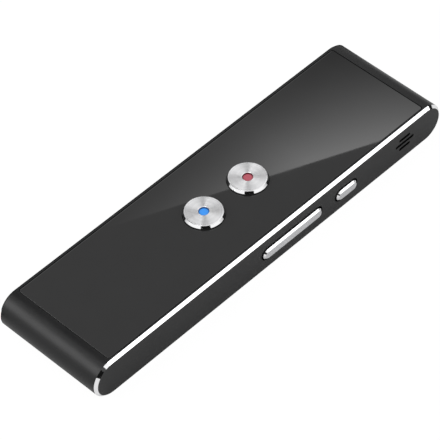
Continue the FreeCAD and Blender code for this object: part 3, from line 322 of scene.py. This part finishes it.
def spun_finish(name, centre):
    """A turned metal face: fine rings, and light that stretches across them."""
    material, tree = new_tree(name)
    radius = ring_radius(tree, centre)
    fine = rings(tree, radius, FINE_RING_PITCH)
    broad = rings(tree, radius, BROAD_RING_PITCH)
    height = maths(tree, "ADD", fine, broad)
    tone = maths(tree, "MULTIPLY", stretch(tree, fine, 0.93, 1.05), stretch(tree, broad, 0.94, 1.04))
    tangent = add(tree, "Tangent", direction_type="RADIAL", axis="Z")
    inputs = {
        "Base Color": tinted(tree, SPUN_COLOUR, tone),
        "Roughness": stretch(tree, broad, *SPUN_ROUGHNESS),
        "Metallic": 1.0,
        "Anisotropic": SPUN_ANISOTROPY,
        "Anisotropic Rotation": SPUN_TURN,
        "Tangent": tangent.outputs["Tangent"],
    }
    return surface(material, tree, inputs, height, RING_DEPTH)


def dot_finish(name, centre, dot_radius, colour):
    """Gloss enamel, with painted shade that darkens it towards its rim."""
    material, tree = new_tree(name)
    radius = ring_radius(tree, centre)
    # Painted shade: the base colour darkens towards the dot's rim
    rim = stretch(tree, radius, 1.0, DOT_PAINTED_SHADE_TONE, DOT_PAINTED_SHADE_START * dot_radius, dot_radius)
    clouds = noise(tree, object_place(tree), DOT_CLOUDS)
    inputs = {
        "Base Color": tinted(tree, colour, maths(tree, "MULTIPLY", rim, stretch(tree, clouds, 0.96, 1.04))),
        "Roughness": stretch(tree, clouds, *DOT_ROUGHNESS),
        "IOR": DOT_IOR,
    }
    return surface(material, tree, inputs, clouds, DOT_CLOUD_DEPTH)


def mesh_finish():
    """Fine woven cloth."""
    material, tree = new_tree("mesh_cloth")
    place = object_place(tree)
    waves = {"Vector": place, "Scale": 1 / CLOTH_THREAD / WAVES_PER_SCALE, "Distortion": 0.3}
    warp = add(tree, "TexWave", waves, bands_direction="Y").outputs["Fac"]
    weft = add(tree, "TexWave", waves, bands_direction="Z").outputs["Fac"]
    weave = maths(tree, "MULTIPLY", warp, weft)
    inputs = {
        "Base Color": tinted(tree, CLOTH_COLOUR, stretch(tree, weave, 0.5, 1.5, 0, 1)),
        "Roughness": stretch(tree, weave, *CLOTH_ROUGHNESS, 0, 1),
        "IOR": CLOTH_IOR,
    }
    return surface(material, tree, inputs, weave, CLOTH_DEPTH)


# Finishes that need no shape of their own: colour, roughness, grain and its depth in millimetres
PLAIN_FINISHES = {
    "black_moulding": dict(colour=(0.02, 0.02, 0.021), roughness=0.5, grain=0.15, depth=0.006),
    "grey_moulding": dict(colour=(0.22, 0.22, 0.23), roughness=0.5, grain=0.18, depth=0.006),
    "steel": dict(colour=(0.6, 0.6, 0.61), roughness=0.28, grain=0.1, depth=0.001, metallic=1.0, spread=0.05),
    "shield_steel": dict(colour=(0.66, 0.66, 0.64), roughness=0.38, grain=0.3, depth=0.002, metallic=1.0,
                         spread=0.06),
    "socket_steel": dict(colour=(0.72, 0.72, 0.73), roughness=0.16, grain=0.2, depth=0.001, metallic=1.0,
                         spread=0.04),
    "board_laminate": dict(colour=(0.015, 0.11, 0.05), roughness=0.35, grain=0.4, depth=0.004, spread=0.2),
    "chip_moulding": dict(colour=(0.02, 0.02, 0.021), roughness=0.55, grain=0.12, depth=0.005),
    "ceramic_part": dict(colour=(0.45, 0.36, 0.26), roughness=0.4, grain=0.1, depth=0.002, spread=0.15),
    "flex_film": dict(colour=(0.42, 0.2, 0.05), roughness=0.3, grain=0.5, depth=0.004, spread=0.2),
    "cell_pouch": dict(colour=(0.62, 0.62, 0.63), roughness=0.42, grain=1.2, depth=0.02, metallic=1.0,
                       spread=0.06),
    "tape": dict(colour=(0.7, 0.7, 0.68), roughness=0.7, grain=0.3, depth=0.01),
    "foam": dict(colour=(0.03, 0.03, 0.03), roughness=0.95, grain=0.25, depth=0.06, spread=0.3),
    "red_wire": dict(colour=(0.5, 0.02, 0.02), roughness=0.45, grain=0.2, depth=0.004),
    "black_wire": dict(colour=(0.02, 0.02, 0.02), roughness=0.45, grain=0.2, depth=0.004),
    "white_moulding": dict(colour=(0.75, 0.74, 0.7), roughness=0.45, grain=0.2, depth=0.004, spread=0.05),
    "speaker_cone": dict(colour=(0.12, 0.12, 0.13), roughness=0.4, grain=0.3, depth=0.006),
    "copper": dict(colour=(0.75, 0.42, 0.25), roughness=0.3, grain=0.15, depth=0.001, metallic=1.0,
                   spread=0.08),
    "side_key_metal": dict(colour=(0.72, 0.725, 0.74), roughness=0.3, grain=0.12, depth=0.002, metallic=1.0,
                           spread=0.04),
    "key_rim": dict(colour=(0.9, 0.9, 0.91), roughness=0.3, grain=0.1, depth=0.0005, metallic=1.0,
                    spread=0.02),
    # Near-black painted shade for the walls of the speaker slots
    "slot_black": dict(colour=(0.002, 0.002, 0.002), roughness=0.8, grain=0.15, depth=0.004, IOR=1.15),
}


def shade(node, *materials):
    """Gives a node its materials in place of the imported one."""
    mesh = frame["nodes"][node].data
    mesh.materials.clear()
    for material in materials:
        mesh.materials.append(material)


def pick_faces(node, test):
    """Each face takes the node's material that the test numbers."""
    mesh = frame["nodes"][node].data
    for face in mesh.polygons:
        face.material_index = int(test(face.normal, face.center))


def middle(node):
    """Middle of a node's box."""
    low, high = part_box(node)
    return (low + high) / 2


def housing_finish(normal, centre, slots_low, slots_high):
    """Anodised, but for the polished chamfers and the walls of the speaker slots, which get a near-black
    painted shade.
    """
    if CHAMFER_TILT[0] < abs(normal.x) < CHAMFER_TILT[1] and abs(centre.x) > CHAMFER_FROM_X:
        return 1
    by_slots = slots_low.y < centre.y < slots_high.y and slots_low.z < centre.z < slots_high.z
    return 2 if by_slots and abs(normal.x) < SLOT_WALL_TILT and centre.x > SLOT_WALL_FROM_X else 0


def side_key_finish(normal, centre):
    """Satin face, polished bevel, and walls in black moulding as painted shade."""
    if abs(normal.x) > SIDE_FACE_TILT:
        return 0
    return 1 if abs(normal.x) > SIDE_BEVEL_TILT else 2


def key_cap_finish(normal, radius):
    """Spun face, polished bevel, satin rim, enamelled pocket wall, and an outer wall in black moulding as
    painted shade.
    """
    if normal.z > KEY_FACE_TILT:
        return 0
    if normal.z > KEY_RIM_TILT:
        return 2
    if abs(normal.z) > KEY_BEVEL_TILT:
        return 1
    return 3 if radius < KEY_POCKET_RADIUS else 4


def dress_parts():
    """Every node gets the finish of its slot, and some get more finishes for single faces."""
    made = {slot: plain_finish(slot, **values) for slot, values in PLAIN_FINISHES.items()}
    made["anodised_shell"] = anodised_finish()
    made["gloss_panel"] = panel_finish()
    made["mesh_cloth"] = mesh_finish()
    bright_edge = polished_finish("polished_edge", *EDGE_POLISH)
    key_edge = polished_finish("polished_key_edge", *KEY_EDGE_POLISH)
    for part in frame["record"]["subparts"]:
        if part["material_slot"] in made:
            shade(part["node"], made[part["material_slot"]])

    shade("front_panel", made["gloss_panel"], made["black_moulding"])
    pick_faces("front_panel", lambda n, c: abs(n.z) < PANEL_FACE_TILT)
    slots_low, slots_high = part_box("speaker_mesh")
    shade("housing", made["anodised_shell"], bright_edge, made["slot_black"])
    pick_faces("housing", lambda n, c: housing_finish(n, c, slots_low, slots_high))
    for node in ("volume_rocker", "power_button"):
        # Painted shade: the side keys' walls take the black moulding, where the gaps round the keys are in
        # shade
        shade(node, made["side_key_metal"], key_edge, made["black_moulding"])
        pick_faces(node, side_key_finish)
    for colour, paint in DOT_COLOURS:
        cap = colour + "_key_cap"
        dot = colour + "_key_dot"
        low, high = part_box(dot)
        centre = middle(dot)
        enamel = dot_finish(colour + "_enamel", centre, (high.x - low.x) / 2, paint)
        # Painted shade: the round keys' outer walls take the black moulding, and the enamel darkens towards
        # each dot's rim
        shade(cap, spun_finish(colour + "_key_face", centre), key_edge, made["key_rim"], enamel,
              made["black_moulding"])
        pick_faces(cap, lambda n, c: key_cap_finish(n, (c - centre).xy.length))
        shade(dot, enamel)


def link(made):
    """Puts an object in the scene."""
    bpy.context.scene.collection.objects.link(made)
    return made


def aim_camera():
    """The photograph's camera."""
    flat = math.cos(CAMERA_ELEVATION)
    back = Vector((flat * math.sin(CAMERA_AZIMUTH), -flat * math.cos(CAMERA_AZIMUTH),
                   math.sin(CAMERA_ELEVATION)))
    data = bpy.data.cameras.new("camera")
    data.lens = CAMERA_LENS
    data.sensor_width = CAMERA_SENSOR
    camera = link(bpy.data.objects.new("camera", data))
    camera.location = CAMERA_TARGET + back * CAMERA_DISTANCE
    camera.rotation_mode = "QUATERNION"
    camera.rotation_quaternion = back.to_track_quat("Z", "Y") @ Quaternion((0, 0, 1), CAMERA_ROLL)
    bpy.context.scene.camera = camera
    return camera.location.copy()


def seen_ray(tree):
    """One for a ray from the camera, a mirror or through glass, else nothing."""
    path = add(tree, "LightPath")
    first = maths(tree, "MAXIMUM", path.outputs["Is Camera Ray"], path.outputs["Is Glossy Ray"])
    return maths(tree, "MAXIMUM", first, path.outputs["Is Transmission Ray"])


def light_world():
    """White where it is seen, and a soft even fill."""
    world = bpy.data.worlds.new("studio")
    world.use_nodes = True
    tree = world.node_tree
    tree.nodes.clear()
    level = stretch(tree, seen_ray(tree), WORLD_FILL, 1.0, 0, 1)
    light = add(tree, "Background", {"Color": (1, 1, 1, 1), "Strength": level})
    add(tree, "OutputWorld", {"Surface": light.outputs["Background"]})
    bpy.context.scene.world = world


def sheet_mesh(name, corners, material):
    """A flat sheet through its corners, as part of the stage."""
    mesh = bpy.data.meshes.new(name)
    mesh.from_pydata([tuple(corner) for corner in corners], [], [range(len(corners))])
    mesh.materials.append(material)
    made = link(bpy.data.objects.new(name, mesh))
    return made


def lay_floor():
    """A plain white floor that still takes the object's shadow."""
    material, tree = new_tree("floor")
    paint = add(tree, "BsdfDiffuse", {"Color": FLOOR_COLOUR})
    glow = add(tree, "Emission", {"Color": (1, 1, 1, 1), "Strength": FLOOR_GLOW})
    path = add(tree, "LightPath").outputs
    direct = maths(tree, "MULTIPLY", path["Is Camera Ray"], FLOOR_GLOW_SEEN)
    other = maths(tree, "MAXIMUM", path["Is Glossy Ray"], path["Is Transmission Ray"])
    share = maths(tree, "MAXIMUM", direct, maths(tree, "MULTIPLY", other, FLOOR_GLOW_MIRRORED))
    mix = add(tree, "MixShader", {"Fac": share, 1: paint.outputs["BSDF"], 2: glow.outputs["Emission"]})
    add(tree, "OutputMaterial", {"Surface": mix.outputs["Shader"]})
    half = FLOOR_SIZE / 2
    corners = [(-half, -half, -FLOOR_DROP), (half, -half, -FLOOR_DROP), (half, half, -FLOOR_DROP),
               (-half, half, -FLOOR_DROP)]
    sheet_mesh("floor", corners, material)


def only_in_mirrors(made):
    """A card that shows in reflections and lights nothing else."""
    made.visible_camera = False
    made.visible_diffuse = False
    made.visible_shadow = False
    made.visible_transmission = False
    made.visible_volume_scatter = False


def glow_material(name, strength):
    """Even light of its own."""
    material, tree = new_tree(name)
    glow = add(tree, "Emission", {"Color": (1, 1, 1, 1), "Strength": strength})
    add(tree, "OutputMaterial", {"Surface": glow.outputs["Emission"]})
    return material


def seen_in_panel(eye, x, y):
    """The place at the cards' height that the camera sees mirrored in the panel at a place in millimetres."""
    mirrored = Vector((eye.x, eye.y, 2 * PANEL_Z - eye.z))
    point = Vector((x * MM, y * MM, PANEL_Z))
    return mirrored + (point - mirrored) * (CARD_HEIGHT - mirrored.z) / (PANEL_Z - mirrored.z)


def bright_card_material():
    """Fades towards the panel's far long edge and its far end."""
    material, tree = new_tree("bright_card")
    place = add(tree, "SeparateXYZ", {"Vector": object_place(tree)})
    nearer = stretch(tree, place.outputs["X"], 0.0, 1.0, *BRIGHT_CARD_X)
    across = stretch(tree, maths(tree, "POWER", nearer, BRIGHT_BEND), *BRIGHT_ACROSS, 0.0, 1.0)
    rising = stretch(tree, place.outputs["Y"], *BRIGHT_RISE, *BRIGHT_RISE_Y)
    falling = stretch(tree, place.outputs["Y"], *BRIGHT_FALL, *BRIGHT_FALL_Y)
    level = maths(tree, "MULTIPLY", across, maths(tree, "MINIMUM", rising, falling))
    glow = add(tree, "Emission", {"Color": (1, 1, 1, 1), "Strength": level})
    add(tree, "OutputMaterial", {"Surface": glow.outputs["Emission"]})
    return material


def hang_panel_cards(eye):
    """The bright and the dark cards, laid out by where the panel mirrors them."""
    cards = [("bright_card", bright_card_material(), BRIGHT_CARD_CORNERS)]
    cards += [(name, glow_material(name, level), corners) for name, level, corners in DARK_CARDS]
    for name, material, outline in cards:
        only_in_mirrors(sheet_mesh(name, [seen_in_panel(eye, *place) for place in outline], material))


def hang_flag(name, point, direction, distance, width, height, strength):
    """A dark upright card seen from a point in one direction."""
    aim = Vector(direction).normalized()
    centre = Vector(point) * MM + aim * distance * MM
    side = Vector((0, 0, 1)).cross(aim).normalized() * width / 2 * MM
    rise = aim.cross(side).normalized() * height / 2 * MM
    corners = [centre - side - rise, centre + side - rise, centre + side + rise, centre - side + rise]
    only_in_mirrors(sheet_mesh(name, corners, glow_material(name, strength)))


def hang_flags():
    """Cards that give the bright edges and the key bevels their breaks."""
    for flag in FLAGS:
        hang_flag(*flag)


def lay_side_card():
    """A dark card on the floor beside the body, which keeps the far long edge dark."""
    corners = [Vector(place) * MM for place in SIDE_CARD_CORNERS]
    only_in_mirrors(sheet_mesh("side_card", corners, glow_material("side_card", SIDE_CARD_LEVEL)))


def hang_wedge_cards():
    """A dark cross round the place that the keys mirror, so that they shine along two crossed lines."""
    material = glow_material("wedge_card", WEDGE_CARD_LEVEL)
    for number, (near, far) in enumerate(WEDGE_ARMS):
        near = Vector(near).normalized()
        far = Vector(far).normalized()
        side = near.cross(far).normalized()
        corners = [near * ARM_DISTANCE - side * ARM_NEAR_HALF, far * ARM_DISTANCE - side * ARM_FAR_HALF,
                   far * ARM_DISTANCE + side * ARM_FAR_HALF, near * ARM_DISTANCE + side * ARM_NEAR_HALF]
        only_in_mirrors(sheet_mesh("wedge_card_%d" % (number + 1), corners, material))


def hang_lamp(name, direction, distance, size, power):
    """A soft square lamp that faces the object."""
    data = bpy.data.lights.new(name, "AREA")
    data.shape = "SQUARE"
    data.size = size
    data.energy = power
    lamp = link(bpy.data.objects.new(name, data))
    aim = Vector(direction).normalized()
    lamp.location = aim * distance
    lamp.rotation_mode = "QUATERNION"
    lamp.rotation_quaternion = aim.to_track_quat("Z", "Y")
    return lamp


def light_studio():
    """Soft lamps round the object."""
    for lamp in LAMPS:
        hang_lamp(*lamp)


eye_place = aim_camera()
light_world()
lay_floor()
dress_parts()
hang_panel_cards(eye_place)
hang_flags()
lay_side_card()
hang_wedge_cards()
light_studio()

scene = bpy.context.scene
scene.view_settings.view_transform = "Standard"
